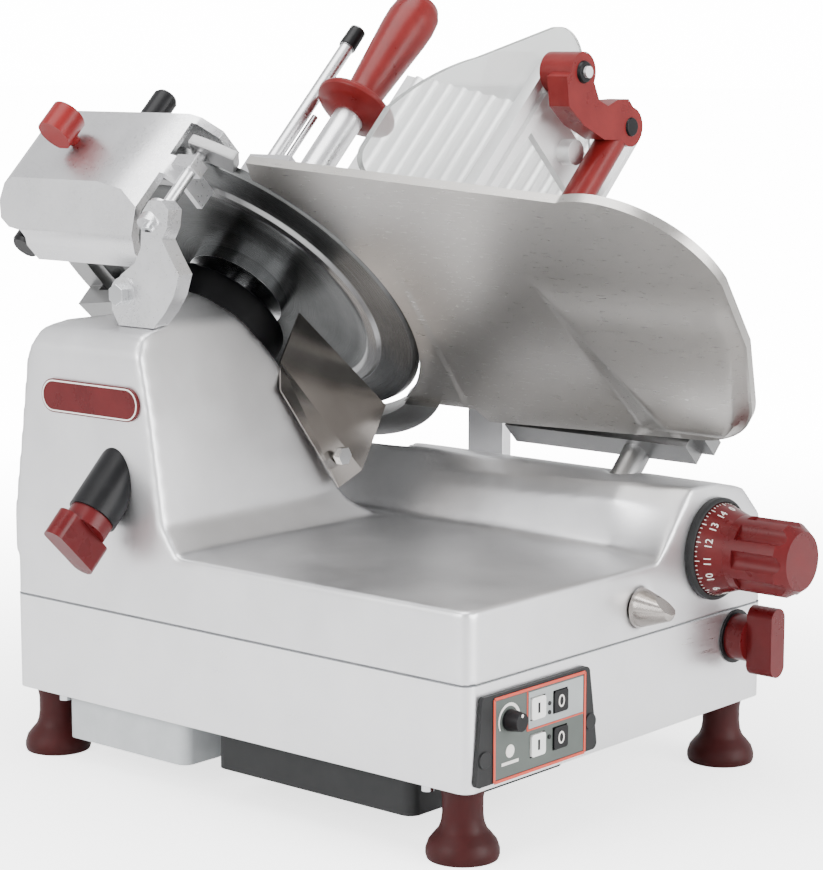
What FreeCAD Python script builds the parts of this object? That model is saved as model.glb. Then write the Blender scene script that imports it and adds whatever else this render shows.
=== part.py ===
import FreeCAD, Part
import math
import os
import Sketcher

# Gravity-feed automatic meat slicer, in millimetres.
#
# Machine axes: X runs to the operator's right, Y away from the operator (the carriage's travel), Z up.
# Machine coordinates start at the front left lower corner of the sheet-metal base. at() moves them to
# the part's own frame, whose origin is on the floor under the middle of the whole machine.
#
# Blade axes: the blade, gauge plate and carriage share a plane that leans back over the slice tray.
# tilted() takes (along, up, out): along = Y, up = up the leaning plane, out = square out of it,
# towards the food.

doc = FreeCAD.newDocument("meat_slicer")
Vector = FreeCAD.Vector
Rotation = FreeCAD.Rotation
Placement = FreeCAD.Placement

# ---------------------------------------------------------------- driving dimensions

SIZES = {
    # base and castings
    "base_width": 390, "base_length": 500, "pan_height": 81, "rim_height": 137,
    "corner_radius": 10, "sheet_wall": 2, "cast_wall": 8, "ridge_height": 191, "housing_height": 345,
    "foot_height": 56, "foot_radius": 28, "foot_inset": 24, "stud_radius": 5,
    # where the origin stands, in machine coordinates
    "origin_along_width": 223, "origin_along_length": 267,
    # blade
    "lean_angle": 45, "blade_radius": 175, "blade_along": 428, "blade_up": 94, "blade_out": 380,
    "blade_thickness": 9, "shaft_radius": 14, "guard_radius": 206, "guard_band": 25,
    "blade_pulley_radius": 45, "motor_pulley_radius": 18,
    # gauge plate and thickness control
    "plate_thickness": 8, "flute_height": 3, "post_radius": 12, "post_along": 92, "post_up": -92,
    "plate_travel": 15, "dial_across": 315, "dial_radius": 42, "dial_reach": 84,
    # carriage
    "table_start": 188, "table_width": 314, "table_thickness": 5,
    "shield_along": 201, "shield_thickness": 6, "tube_radius": 14, "pusher_along": 380, "pusher_up": 131,
    "handle_length": 145, "handle_radius": 23, "rail_across": 362, "rail_height": 62, "rod_radius": 9,
    # sharpener
    "pivot_along": 352, "pivot_up": 262, "pivot_radius": 5,
    # control panel and knobs
    "panel_depth": 4, "button_size": 17,
    "knob_radius": 22, "cone_radius": 15,
}

sheet = doc.addObject("Spreadsheet::Sheet", "dims")
for row, (name, value) in enumerate(SIZES.items(), start=1):
    sheet.set(f"A{row}", name)
    sheet.set(f"B{row}", str(value))
    sheet.setAlias(f"B{row}", name)
doc.recompute()


class Size:
    """A length that knows its value and the spreadsheet expression that drives it."""

    def __init__(self, value, text):
        self.value = value
        self.text = text

    def __add__(self, other):
        return Size(self.value + number(other), f"({self.text} + {text(other)})")

    def __sub__(self, other):
        return Size(self.value - number(other), f"({self.text} - {text(other)})")

    def __mul__(self, other):
        return Size(self.value * number(other), f"{self.text} * {text(other)}")

    def __truediv__(self, other):
        return Size(self.value / number(other), f"{self.text} / {text(other)}")

    def __neg__(self):
        return Size(-self.value, f"(0 - {self.text})")


def number(x):
    return x.value if isinstance(x, Size) else float(x)


def text(x):
    return x.text if isinstance(x, Size) else repr(float(x))


class D:
    """The spreadsheet's cells, by name."""


for name in SIZES:
    setattr(D, name, Size(float(sheet.get(name)), f"dims.{name}"))

WIDTH = number(D.base_width)
LENGTH = number(D.base_length)
PAN = number(D.pan_height)
RIM = number(D.rim_height)
FOOT = number(D.foot_height)
CAST = number(D.cast_wall)
BLADE_ALONG = number(D.blade_along)
BLADE_UP = number(D.blade_up)
BLADE_OUT = number(D.blade_out)
BLADE_R = number(D.blade_radius)

# ---------------------------------------------------------------- placing

LEAN = math.radians(number(D.lean_angle))
ALONG = Vector(0, 1, 0)
UP = Vector(-math.sin(LEAN), 0, math.cos(LEAN))
OUT = Vector(math.cos(LEAN), 0, math.sin(LEAN))
TILT = Rotation(ALONG, UP, OUT, "XYZ")
UPRIGHT = Rotation()
TO_FRONT = Rotation(Vector(1, 0, 0), 90)      # a piece drawn along Z points at the operator
TO_BACK = Rotation(Vector(1, 0, 0), -90)      # a piece drawn along Z points away from the operator
TO_LEFT = Rotation(Vector(0, 1, 0), -90)      # a piece drawn along Z points to the left
ALONG_Y = Rotation(Vector(0, 1, 0), 90)       # in the tilted frame: a piece drawn along Z runs along Y
DOWN = Rotation(Vector(1, 0, 0), 180)
SHIFT = Vector(-number(D.origin_along_width), -number(D.origin_along_length), FOOT)


def at(x, y, z, turn=UPRIGHT):
    """Placement at a point given in machine coordinates."""
    return Placement(Vector(number(x), number(y), number(z)) + SHIFT, turn)


def tilted(along, up, out, turn=UPRIGHT):
    """Placement at a point given in the leaning blade frame."""
    spot = ALONG * number(along) + UP * number(up) + OUT * number(out)
    return Placement(spot + SHIFT, TILT * turn)


def blade_axis(out):
    """Placement on the blade's axis."""
    return tilted(D.blade_along, D.blade_up, out)


# ---------------------------------------------------------------- making objects

nodes = []


def bind(obj, prop, size):
    if isinstance(size, Size):
        obj.setExpression(prop, size.text)
    setattr(obj, prop, number(size))


def keep(obj, label):
    """Registers an object as one of the machine's pieces."""
    obj.Label = label
    nodes.append(obj)
    return obj


def box(name, length, width, height, place):
    obj = doc.addObject("Part::Box", name)
    bind(obj, "Length", length)
    bind(obj, "Width", width)
    bind(obj, "Height", height)
    obj.Placement = place
    return obj


def cylinder(name, radius, height, place):
    obj = doc.addObject("Part::Cylinder", name)
    bind(obj, "Radius", radius)
    bind(obj, "Height", height)
    obj.Placement = place
    return obj


def cone(name, radius1, radius2, height, place):
    obj = doc.addObject("Part::Cone", name)
    bind(obj, "Radius1", radius1)
    bind(obj, "Radius2", radius2)
    bind(obj, "Height", height)
    obj.Placement = place
    return obj


def prism(name, sides, radius, height, place):
    obj = doc.addObject("Part::Prism", name)
    obj.Polygon = sides
    bind(obj, "Circumradius", radius)
    bind(obj, "Height", height)
    obj.Placement = place
    return obj


def cut(label, base, *tools):
    obj = doc.addObject("Part::Cut", label + "_cut")
    obj.Base = base
    obj.Tool = tools[0] if len(tools) == 1 else group(label + "_tools", *tools)
    return obj


def group(label, *shapes):
    obj = doc.addObject("Part::Compound", label)
    obj.Links = list(shapes)
    return obj


def fuse(label, *shapes):
    obj = doc.addObject("Part::MultiFuse", label + "_fuse")
    obj.Shapes = list(shapes)
    return obj


def solid(label, shape, place=None):
    """A piece whose free form is worked out with Part's own functions."""
    obj = doc.addObject("Part::Feature", label)
    obj.Shape = shape
    obj.Placement = place or Placement(SHIFT, UPRIGHT)
    return keep(obj, label)


def new_body(label, place):
    body = doc.addObject("PartDesign::Body", label)
    body.Placement = place
    return keep(body, label)


def new_sketch(body, role, name, height=0):
    sketch = body.newObject("Sketcher::SketchObject", name)
    plane = [item for item in body.Origin.OriginFeatures if item.Role == role][0]
    sketch.AttachmentSupport = [(plane, "")]
    sketch.MapMode = "FlatFace"
    sketch.AttachmentOffset = Placement(Vector(0, 0, number(height)), UPRIGHT)
    return sketch


def outline(sketch, path):
    """Closes a loop through path: (x, y) ends a line, (x, y, mx, my) ends an arc through (mx, my).
    Every corner is tied to the sketch origin by its own pair of dimensions."""
    corners = [Vector(number(p[0]), number(p[1]), 0) for p in path]
    first = len(sketch.Geometry)
    for i, spot in enumerate(path):
        start = corners[i - 1]
        if len(spot) == 4:
            middle = Vector(number(spot[2]), number(spot[3]), 0)
            sketch.addGeometry(Part.Arc(start, middle, corners[i]), False)
        else:
            sketch.addGeometry(Part.LineSegment(start, corners[i]), False)
    ends = []
    for i, spot in enumerate(path):
        edge = sketch.Geometry[first + i]
        turned = len(spot) == 4 and (edge.EndPoint - corners[i]).Length > 1e-4
        ends.append(1 if turned else 2)
    for i, spot in enumerate(path):
        following = (i + 1) % len(path)
        other = 3 - ends[following]
        sketch.addConstraint(Sketcher.Constraint("Coincident", first + i, ends[i], first + following, other))
    for i, spot in enumerate(path):
        for kind, size in (("DistanceX", spot[0]), ("DistanceY", spot[1])):
            index = sketch.addConstraint(
                Sketcher.Constraint(kind, -1, 1, first + i, ends[i], number(size)))
            if isinstance(size, Size):
                sketch.setExpression(f"Constraints[{index}]", size.text)
    return sketch


def rectangle(sketch, x, y, width, height):
    """A rectangle by its lower corner and its sides."""
    x = x if isinstance(x, Size) else Size(float(x), repr(float(x)))
    y = y if isinstance(y, Size) else Size(float(y), repr(float(y)))
    return outline(sketch, [(x, y), (x + width, y), (x + width, y + height), (x, y + height)])


def circle(sketch, x, y, radius):
    index = sketch.addGeometry(Part.Circle(Vector(number(x), number(y), 0), Vector(0, 0, 1), number(radius)))
    for kind, size in (("DistanceX", x), ("DistanceY", y)):
        sketch.addConstraint(Sketcher.Constraint(kind, -1, 1, index, 3, number(size)))
    constraint = sketch.addConstraint(Sketcher.Constraint("Radius", index, number(radius)))
    if isinstance(radius, Size):
        sketch.setExpression(f"Constraints[{constraint}]", radius.text)
    return sketch


def pad(body, sketch, length, both=False, back=False):
    feature = body.newObject("PartDesign::Pad", sketch.Name + "_pad")
    feature.Profile = sketch
    bind(feature, "Length", length)
    feature.Midplane = both
    feature.Reversed = back
    sketch.Visibility = False
    return feature


def pocket(body, sketch, length, both=False, back=False):
    feature = body.newObject("PartDesign::Pocket", sketch.Name + "_pocket")
    feature.Profile = sketch
    bind(feature, "Length", length)
    feature.Midplane = both
    feature.Reversed = back
    doc.recompute()
    return feature


def revolve(body, sketch):
    feature = body.newObject("PartDesign::Revolution", sketch.Name + "_turn")
    feature.Profile = sketch
    feature.ReferenceAxis = (sketch, ["V_Axis"])
    feature.Angle = 360
    return feature


def round_edges(body, wanted, radius):
    """Rounds the edges of the body's last feature for which wanted(edge) is true."""
    doc.recompute()
    last = body.Tip
    names = [f"Edge{i}" for i, edge in enumerate(last.Shape.Edges, start=1) if wanted(edge)]
    feature = body.newObject("PartDesign::Fillet", body.Name + "_round")
    feature.Base = (last, names)
    bind(feature, "Radius", radius)
    doc.recompute()
    return feature


def is_upright(edge):
    start, end = edge.Vertexes[0].Point, edge.Vertexes[-1].Point
    return abs(start.x - end.x) < 0.01 and abs(start.y - end.y) < 0.01 and abs(start.z - end.z) > 1


def turned(label, place, path):
    """A turned piece: path is its half section, (radius, height) from the axis."""
    body = new_body(label, place)
    sketch = new_sketch(body, "XZ_Plane", label + "_section")
    outline(sketch, path)
    revolve(body, sketch)
    return body


def plate(label, place, path, thickness, holes=()):
    """A flat piece: path is its outline, holes are (x, y, radius)."""
    body = new_body(label, place)
    sketch = new_sketch(body, "XY_Plane", label + "_outline")
    outline(sketch, path)
    for x, y, radius in holes:
        circle(sketch, x, y, radius)
    pad(body, sketch, thickness)
    return body


# ---------------------------------------------------------------- free-form helpers

def polygon_xz(points, y):
    spots = [Vector(x, y, z) for x, z in points]
    return Part.makePolygon(spots + spots[:1])


def bar_xz(points, start, length):
    return Part.Face(polygon_xz(points, start)).extrude(Vector(0, length, 0))


def bar_yz(points, start, length):
    spots = [Vector(start, y, z) for y, z in points]
    return Part.Face(Part.makePolygon(spots + spots[:1])).extrude(Vector(length, 0, 0))


def leaning_cylinder(radius, along, up, out, length):
    """A cylinder along the blade's axis direction, in machine coordinates."""
    base = ALONG * along + UP * up + OUT * out
    return Part.makeCylinder(radius, length, base, OUT)


def rounded_box(x, y, z, length, width, height, radius):
    shape = Part.makeBox(length, width, height, Vector(x, y, z))
    upright = [edge for edge in shape.Edges if is_upright(edge)]
    return shape.makeFillet(radius, upright)


def ring_sector(inner, outer, height, start, end):
    """A flat ring segment about Z, from start to end degrees, counterclockwise."""
    sweep = end - start
    outer_part = Part.makeCylinder(outer, height, Vector(), Vector(0, 0, 1), sweep)
    inner_part = Part.makeCylinder(inner, height, Vector(), Vector(0, 0, 1), sweep)
    shape = outer_part.cut(inner_part)
    shape.rotate(Vector(), Vector(0, 0, 1), start)
    return shape


# ---------------------------------------------------------------- base

def is_outer_corner(edge):
    spot = edge.Vertexes[0].Point
    return is_upright(edge) and spot.x in (0, WIDTH) and spot.y in (0, LENGTH)


def is_inner_corner(edge):
    return is_upright(edge) and not is_outer_corner(edge)


def make_base():
    pan = new_body("base_pan", at(0, 0, 0))
    skirt = new_sketch(pan, "XY_Plane", "pan_skirt")
    rectangle(skirt, 0, 0, D.base_width, D.base_length)
    pad(pan, skirt, D.pan_height)
    hollow = new_sketch(pan, "XY_Plane", "pan_hollow", D.pan_height)
    rectangle(hollow, D.sheet_wall, D.sheet_wall,
              D.base_width - D.sheet_wall * 2, D.base_length - D.sheet_wall * 2)
    pocket(pan, hollow, D.pan_height)
    round_edges(pan, is_inner_corner, D.corner_radius - D.sheet_wall)
    round_edges(pan, is_outer_corner, D.corner_radius)
    window = new_sketch(pan, "XZ_Plane", "panel_window")
    rectangle(window, 18, 12, 118, 52)
    circle(window, 348, 58, 6.5)
    pocket(pan, window, 10, both=True)

    floor = plate("bottom_plate", at(D.sheet_wall + 0.5, D.sheet_wall + 0.5, 3),
                  [(0, 0), (D.base_width - 5, 0), (D.base_width - 5, D.base_length - 5),
                   (0, D.base_length - 5)], 3)
    round_edges(floor, is_upright, D.corner_radius - D.sheet_wall)


def foot_spots():
    near = number(D.foot_inset)
    return [(x, y) for x in (near, WIDTH - near) for y in (near, LENGTH - near)]


def make_feet():
    """Four flared rubber feet, each on a steel stud that goes up through the bottom plate."""
    height = number(D.foot_height)
    feet = []
    studs = []
    for i, (x, y) in enumerate(foot_spots()):
        name = f"foot_{i + 1}"
        body = doc.addObject("PartDesign::Body", name)
        body.Placement = at(x, y, -height)
        section = new_sketch(body, "XZ_Plane", name + "_section")
        outline(section, [
            (0, 0), (D.foot_radius - 1, 0), (D.foot_radius, 3), (D.foot_radius, 7), (D.foot_radius - 2, 13),
            (D.foot_radius - 6, 18), (D.foot_radius - 9.5, 22), (D.foot_radius - 11.5, 27),
            (D.foot_radius - 12.5, 34), (D.foot_radius - 12.5, 46), (D.foot_radius - 10, D.foot_height + 3),
            (0, D.foot_height + 3)])
        revolve(body, section)
        feet.append(body)
        studs.append(cylinder(f"stud_{i + 1}", D.stud_radius, 16, at(x, y, 6)))
        inward_x = 1 if x < WIDTH / 2 else -1
        inward_y = 1 if y < LENGTH / 2 else -1
        corner = at(x - 12 * inward_x, y + 24 * inward_y, -7)
        studs.append(cylinder(f"skirt_screw_{i + 1}", 5, 10, corner))
    keep(group("rubber_feet", *feet), "rubber_feet")
    keep(group("base_fasteners", *studs), "base_fasteners")


def make_undercovers():
    for label, x, y, length, width, depth in (
            ("left_undercover", 8, 303, 150, 143, 40), ("front_undercover", 10, 62, 190, 208, 34)):
        body = new_body(label, at(x, y, 3 - depth))
        base = new_sketch(body, "XY_Plane", label + "_base")
        rectangle(base, 0, 0, length, width)
        pad(body, base, depth)
        round_edges(body, is_upright, 10)
        hollow = new_sketch(body, "XY_Plane", label + "_hollow", depth)
        rectangle(hollow, 3, 3, length - 6, width - 6)
        pocket(body, hollow, depth - 3)


# ---------------------------------------------------------------- upper casting

def ridge_section(foot_x, crest_x, shoulder, inset, bottom):
    """Closed cross-section of the ridge beside the tray: foot, crest, outer shoulder."""
    top = number(D.ridge_height) - inset
    if shoulder:
        outer = [(322, top - 1), (358 - inset, top - 9), (WIDTH - 6 - inset, 157 - inset)]
    else:
        outer = [(322 - inset / 2, top), (346 - inset, 166 - inset), (WIDTH - 6 - inset, 150 - inset)]
    return [(foot_x + inset, bottom), (foot_x + inset, RIM - inset), (crest_x - 12 + inset, top - 14),
            (crest_x + inset, top)] + outer + [(WIDTH - inset, bottom)]


def ridge(inset):
    """The raised right side of the casting. Its inner wall swings outwards towards the back."""
    bottom = PAN if inset else RIM - 20
    sections = [(inset, 236, 283, True), (18, 242, 278, True), (60, 256, 270, False),
                (290, 258, 303, False), (LENGTH - inset, 262, 322, False)]
    wires = [polygon_xz(ridge_section(foot, crest, shoulder, inset, bottom), y)
             for y, foot, crest, shoulder in sections]
    shape = Part.makeLoft(wires[:3], True, True)
    return shape.fuse(Part.makeLoft(wires[2:], True, True))


def housing(inset):
    """The tall motor housing at the far left: its end view crossed with its side view."""
    top = number(D.housing_height)
    bottom = PAN if inset else RIM - 20
    i = inset
    end_view = [(i, bottom), (i, 296 - i), (8 + i, 311 - i), (34, 319 - i), (52, 330 - i), (68, top - 5 - i),
                (84, top - 2 - i), (104, 332 - i), (128, 311 - i), (150 - i / 2, 288 - i),
                (168 - i, 262 - i / 2), (180 - i, 236), (196 - i, 190), (222 - i, 152), (250 - i, RIM - i),
                (250 - i, bottom)]
    side_view = [(302 + i, bottom), (302 + i, RIM - i / 2), (318 + i, 160), (332 + i, 250),
                 (346 + i, 318 - i), (366 + i / 2, top - 8 - i), (390, top - i), (403, 335 - i), (415, 323 - i),
                 (430, 319 - i), (458 - i / 2, 316 - i), (470 - i, 308 - i), (480 - i, 283), (489 - i, 220),
                 (LENGTH - i, 150 - i / 2), (LENGTH - i, bottom)]
    return bar_xz(end_view, 250, 300).common(bar_yz(side_view, -10, 400))


def make_casting():
    """Tray, ridge and motor housing in one hollow aluminium casting."""
    height = RIM - PAN
    outer = rounded_box(0, 0, PAN, WIDTH, LENGTH, height, number(D.corner_radius))
    hub = leaning_cylinder(62, BLADE_ALONG, BLADE_UP, 262, 90)
    deflector_boss = Part.makeBox(44, 24, 18, Vector(170, 327, 185))
    shape = outer.fuse([ridge(0), housing(0), hub, deflector_boss])
    well = rounded_box(CAST, CAST, PAN - 1, WIDTH - 2 * CAST, LENGTH - 2 * CAST, height + 1 - CAST, 6)
    hub_skin = leaning_cylinder(62, BLADE_ALONG, BLADE_UP, 262, 90)
    hollows = well.fuse([ridge(CAST), housing(CAST)])
    shape = shape.cut(hollows.cut(hub_skin))
    bores = [
        leaning_cylinder(30, BLADE_ALONG, BLADE_UP, 255, 100),
        leaning_cylinder(12.1, number(D.post_along), number(D.post_up), 288, 110),
        leaning_cylinder(212, BLADE_ALONG, BLADE_UP, 352.5, 60),
        Part.makeCylinder(8.1, 30, Vector(number(D.dial_across), -5, RIM), Vector(0, 1, 0)),
        Part.makeCylinder(8.5, 20, Vector(213, -5, 105), Vector(0, 1, 0)),
        Part.makeCylinder(16.6, 4.5, Vector(213, -0.5, 105), Vector(0, 1, 0)),
        Part.makeBox(16, 365, 80, Vector(364, 14, PAN + 5)),
        leaning_cylinder(7, 374, 134, 108, 60),
    ]
    shape = shape.cut(bores)
    solid("upper_casting", shape.removeSplitter())


# ---------------------------------------------------------------- blade and its drive

def make_blade():
    blade_r = D.blade_radius
    turned("blade", blade_axis(D.blade_out), [
        (15, 4), (98, 4), (127, 0), (131, -3), (138, -3), (141, 0), (blade_r - 4, 1), (blade_r, 7),
        (blade_r - 7, D.blade_thickness), (120, D.blade_thickness - 1), (15, D.blade_thickness - 1)])
    turned("blade_shaft", blade_axis(D.blade_out), [
        (0, -178), (D.shaft_radius, -178), (D.shaft_radius, -8), (46, -8), (46, 4),
        (14.9, 4), (14.9, 8), (0, 8)])
    screws = []
    for i in range(4):
        angle = math.radians(45 + 90 * i)
        spot = (number(D.blade_along) + 32 * math.cos(angle), number(D.blade_up) + 32 * math.sin(angle))
        head = cylinder(f"blade_screw_{i + 1}", 6, 2.5, tilted(spot[0], spot[1], D.blade_out + 8))
        screws.append(head)
    keep(group("blade_screws", *screws), "blade_screws")

    bearings = []
    for i, out in enumerate((274, 326)):
        bearings.append(cut(f"bearing_{i + 1}", cylinder(f"bearing_{i + 1}_outer", 30, 16, blade_axis(out)),
                            cylinder(f"bearing_{i + 1}_bore", D.shaft_radius + 0.05, 16, blade_axis(out))))
    keep(group("blade_bearings", *bearings), "blade_bearings")


MOTOR_ALONG, MOTOR_UP, MOTOR_OUT = 398, 14, 84
PULLEY_OUT = 206
PULLEY_WIDTH = 16


def pulley_path(radius, bore):
    """Half section of a flat pulley with two low rims."""
    return [(bore, 0), (radius + 4, 0), (radius + 4, 1.5), (radius, 2), (radius, PULLEY_WIDTH - 2),
            (radius + 4, PULLEY_WIDTH - 1.5), (radius + 4, PULLEY_WIDTH), (bore, PULLEY_WIDTH)]


def belt_loop(radius1, radius2, spot2, height):
    """Solid round two circles and the strip between their outer tangents; the first is at the origin."""
    gap = spot2.Length
    heading = math.atan2(spot2.y, spot2.x)
    lift = math.acos((radius1 - radius2) / gap)
    corners = []
    for radius, spot, sides in ((radius1, Vector(), (1, -1)), (radius2, spot2, (-1, 1))):
        for side in sides:
            angle = heading + side * lift
            corners.append(spot + Vector(math.cos(angle), math.sin(angle), 0) * radius)
    strip = Part.Face(Part.makePolygon(corners + corners[:1])).extrude(Vector(0, 0, height))
    return strip.fuse([Part.makeCylinder(radius1, height), Part.makeCylinder(radius2, height, spot2)])


def make_drive():
    motor = cylinder("motor_can", 45, 112, tilted(MOTOR_ALONG, MOTOR_UP, MOTOR_OUT))
    flange = cylinder("motor_flange", 50, 8, tilted(MOTOR_ALONG, MOTOR_UP, MOTOR_OUT + 100))
    seat = box("motor_seat", 50, 70, 44, at(60, 363, 6))
    keep(fuse("drive_motor", motor, flange, seat), "drive_motor")

    wheel = new_body("motor_pulley", tilted(MOTOR_ALONG, MOTOR_UP, PULLEY_OUT))
    section = new_sketch(wheel, "XZ_Plane", "motor_pulley_section")
    path = pulley_path(D.motor_pulley_radius, 0)
    outline(section, [(0, -8), (7, -8), (7, 0)] + path[1:])
    revolve(wheel, section)

    hub_bore = D.shaft_radius + 0.02
    turned("blade_pulley", blade_axis(PULLEY_OUT), pulley_path(D.blade_pulley_radius, hub_bore))

    offset = Vector(MOTOR_ALONG - BLADE_ALONG, MOTOR_UP - BLADE_UP, 0)
    big = number(D.blade_pulley_radius)
    small = number(D.motor_pulley_radius)
    width = PULLEY_WIDTH - 6
    loop = belt_loop(big + 2.3, small + 2.3, offset, width).cut(belt_loop(big + 0.3, small + 0.3, offset, width))
    solid("drive_belt", loop, blade_axis(PULLEY_OUT + 3))


def make_blade_guard():
    """Ring round the exposed far edge of the blade, on two arms from the hub boss."""
    outer = number(D.guard_radius)
    inner = outer - number(D.guard_band)
    back = -6
    ring = ring_sector(inner, outer, 15, -135, 38)
    ring.translate(Vector(0, 0, back))
    arms = []
    for angle in (-8, -62):
        arm = Part.makeBox(outer - 54, 26, 16, Vector(50, -13, -28))
        post = Part.makeBox(18, 26, 7, Vector(outer - 22, -13, -12.5))
        for piece in (arm, post):
            piece.rotate(Vector(), Vector(0, 0, 1), angle)
            arms.append(piece)
    # the lower end of the ring tapers off under the gauge plate's edge
    plate_room = Part.makeBox(110, 60, 40, Vector(324.5 - 110 - BLADE_ALONG, -53 - BLADE_UP, -20))
    solid("blade_guard", ring.cut(plate_room).fuse(arms), blade_axis(D.blade_out))

    nose = ring_sector(177.5, 198, 10, 111.5, 124)
    nose.translate(Vector(0, 0, -2))
    pin_hole = Part.makeCylinder(number(D.pivot_radius), 20, Vector(
        number(D.pivot_along) - BLADE_ALONG, number(D.pivot_up) - BLADE_UP, -8))
    solid("guard_nose", nose.cut(pin_hole), blade_axis(D.blade_out))


# ---------------------------------------------------------------- sharpener

PIVOT = (number(D.pivot_along), number(D.pivot_up))


def tilted_prism_up(points, start, length):
    """Prism whose outline is (along, up) and which runs square out of the blade plane."""
    spots = [Vector(x, y, start) for x, y in points]
    return Part.Face(Part.makePolygon(spots + spots[:1])).extrude(Vector(0, 0, length))


def tilted_prism_out(points, start, length):
    """Prism whose outline is (out, up) and which runs along the carriage's travel."""
    spots = [Vector(start, y, z) for z, y in points]
    return Part.Face(Part.makePolygon(spots + spots[:1])).extrude(Vector(length, 0, 0))


def sharpener_shell(inset):
    i = inset
    front_view = [(358 + i, 226), (358 + i, 252 - i / 2), (372 + i / 2, 268 - i), (396, 277 - i), (426, 280 - i),
                  (533 - i / 2, 280 - i), (542 - i, 277 - i), (545 - i, 269), (540 - i, 261 + i),
                  (528 - i / 2, 257 + i), (514 - i / 2, 255 + i), (509 - i, 250 + i / 2), (509 - i, 226)]
    side_view = [(286 + i, 222), (286 + i, 244 - i / 2), (294 + i, 257 - i), (330 + i / 2, 280 - i),
                 (408 - i, 280 - i), (415 - i, 272 - i), (415 - i, 222)]
    return tilted_prism_up(front_view, 270, 160).common(tilted_prism_out(side_view, 340, 230))


def make_sharpener():
    """Housing over the top of the blade, hinged on the pin, with a stone on each side of the blade."""
    shell = sharpener_shell(0).cut(sharpener_shell(6).fuse(
        tilted_prism_out([(300, 216), (300, 232), (409, 232), (409, 216)], 364, 139)))
    notch = Part.makeBox(30, 70, 84, Vector(346, 216, 268))
    mouth = Part.makeBox(40, 46, 35, Vector(340, 224, 372))
    blade_slot = Part.makeBox(14, 40, 30, Vector(500, 214.5, 370))
    ear = Part.makeBox(23, 16, 12, Vector(345, 254, 360))
    knob_lug = Part.makeBox(38, 24, 8, Vector(505, 222, 318))
    bore = Part.makeCylinder(number(D.pivot_radius) + 0.05, 60, Vector(PIVOT[0], PIVOT[1], 320))
    stem_bores = [
        Part.makeCylinder(5.2, 20, Vector(486, 264, 373), Vector(0, 1, 0)),
        Part.makeCylinder(6.2, 20, Vector(453, 252, 400)),
        Part.makeCylinder(4.2, 20, Vector(527, 232, 312)),
    ]
    shape = shell.cut([notch, mouth, blade_slot]).fuse([ear, knob_lug]).cut([bore] + stem_bores)
    solid("sharpener_housing", shape, tilted(0, 0, 0))

    turned("grinding_stone", tilted(476, 242, 352, Rotation(Vector(0, 1, 0), -12)), [
        (0, -22), (4, -22), (4, 0), (22, 0), (22, 10), (12, 10), (12, 4), (0, 4)])
    turned("honing_stone", tilted(453, 252, 392), [
        (0, 0), (14, 0), (14, 8), (3, 8), (3, 11), (0, 11)])

    button = new_body("sharpening_button", tilted(486, 301, 360))
    drop = new_sketch(button, "XY_Plane", "button_drop")
    outline(drop, [(-5.5, -16, -12.2, -9), (5.5, -16), (14.5, 0, 12.2, -9), (-14.5, 0, 0, 15)])
    pad(button, drop, 25)
    stem = new_sketch(button, "XZ_Plane", "button_stem", 10)
    circle(stem, 0, 13, 5)
    pad(button, stem, 28)

    turned("honing_button", tilted(453, 252, 408), [
        (0, -1), (6, -1), (6, 11.5), (10, 11.5), (11, 14), (11, 42), (9, 45), (0, 45)])
    turned("sharpener_lock_knob", tilted(527, 232, 292), [
        (0, 0), (11, 0), (13, 3), (13, 17), (9, 21), (4, 21), (4, 34), (0, 34)])


def make_bracket():
    """Cast arm on the housing that carries the sharpener's hinge pin."""
    arm = bar_yz([(348, 316), (333, 330), (323, 344), (317, 361), (328, 376), (336, 388), (330, 398),
                  (328, 412), (336, 419), (350, 419), (358, 410), (360, 392), (361, 380), (368, 368),
                  (384, 358), (396, 346), (396, 328), (388, 316)], 22, 15)
    boss = Part.makeCylinder(14, 17, Vector(20, 381, 342), Vector(1, 0, 0))
    lug = leaning_cylinder(13, PIVOT[0], PIVOT[1], 298, 22)
    pin = leaning_cylinder(number(D.pivot_radius), PIVOT[0], PIVOT[1], 310, 81)
    shape = arm.fuse([boss, lug, pin])
    shape = shape.cut(housing(0))
    solid("sharpener_bracket", max(shape.Solids, key=lambda piece: piece.Volume))
    keep(prism("bracket_bolt", 6, 9, 8, at(20, 381, 342, TO_LEFT)), "bracket_bolt")


# ---------------------------------------------------------------- slice deflector

def make_deflector():
    """Folded stainless plate that peels slices off the back of the blade."""
    def on_slope(x, z, lift=0.0):
        return Vector(x, 304 + (z - 137) * 0.25 - lift, z)

    fold_top, fold_foot = on_slope(161, 277), on_slope(236, 177)
    upper = [fold_top, on_slope(195, 315), on_slope(282, 228), fold_foot]
    lower = [fold_top, fold_foot, on_slope(196, 168, 7), on_slope(148, 255, 7)]
    sheets = []
    for corners in (upper, lower):
        half = corners[2:] + corners[:1]
        for piece in (corners[:3], half):
            face = Part.Face(Part.makePolygon(piece + piece[:1]))
            sheets.append(face.extrude(Vector(0, 1.5, 0)))
    hole = Part.makeCylinder(3.5, 40, Vector(205, 300, 194), Vector(0, 1, 0))
    sheet_part = sheets[0].fuse(sheets[1:]).cut([hole, housing(0)])
    solid("slice_deflector", max(sheet_part.Solids, key=lambda piece: piece.Volume))
    stud = cylinder("deflector_stud", 3, 20, at(205, 307, 194, TO_BACK))
    nut = prism("deflector_nut_body", 6, 8, 7, at(205, 312.2, 194, TO_FRONT))
    keep(fuse("deflector_nut", stud, nut), "deflector_nut")


# ---------------------------------------------------------------- gauge plate and thickness control

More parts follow.
